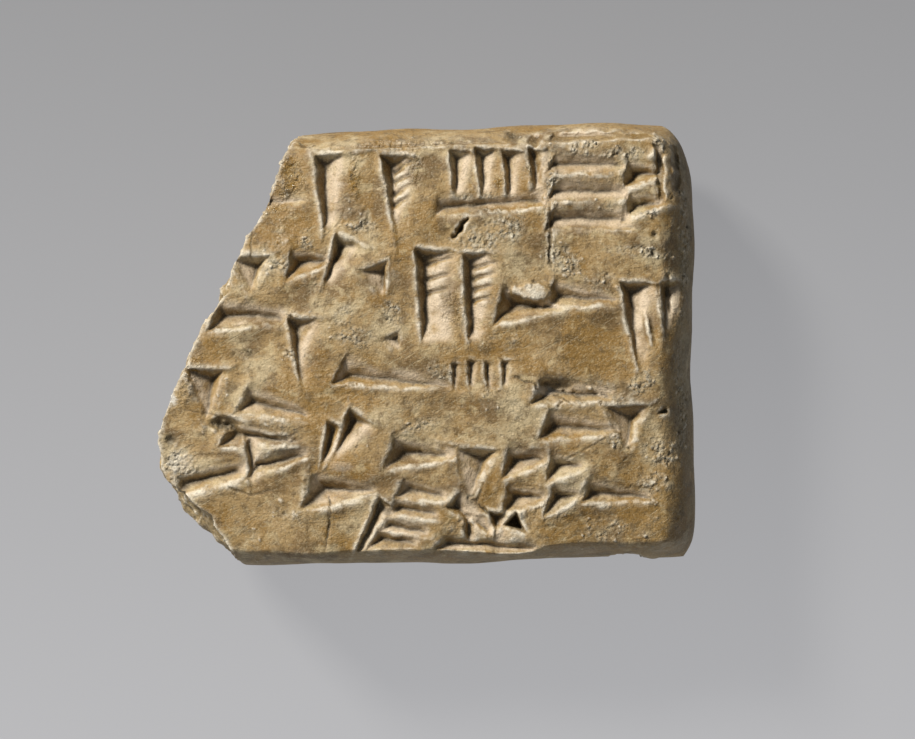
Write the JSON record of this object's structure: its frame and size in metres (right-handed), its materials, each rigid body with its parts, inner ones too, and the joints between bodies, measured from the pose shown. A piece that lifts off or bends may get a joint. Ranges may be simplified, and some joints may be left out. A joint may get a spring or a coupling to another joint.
{
  "type": "clay tablet fragment",
  "caption": "Broken piece of a small hand-held clay writing tablet: one pressed face with lines of wedge strokes, rolled edges, a torn side and a plain back it lies on.",
  "frame": {"origin": "the middle of the part's bounding box, on the flat patch of the back that it lies on", "axes": "+X along the lines of writing towards the whole side edge, +Y towards the first line, +Z out of the written face"},
  "size_m": [0.0478, 0.0394, 0.0172],
  "materials": {
    "clay": "smoothed by hand, dry and slightly burnished on the high places"
  },
  "bodies": {
    "root": {"tablet": "clay"}
  },
  "joints": []
}
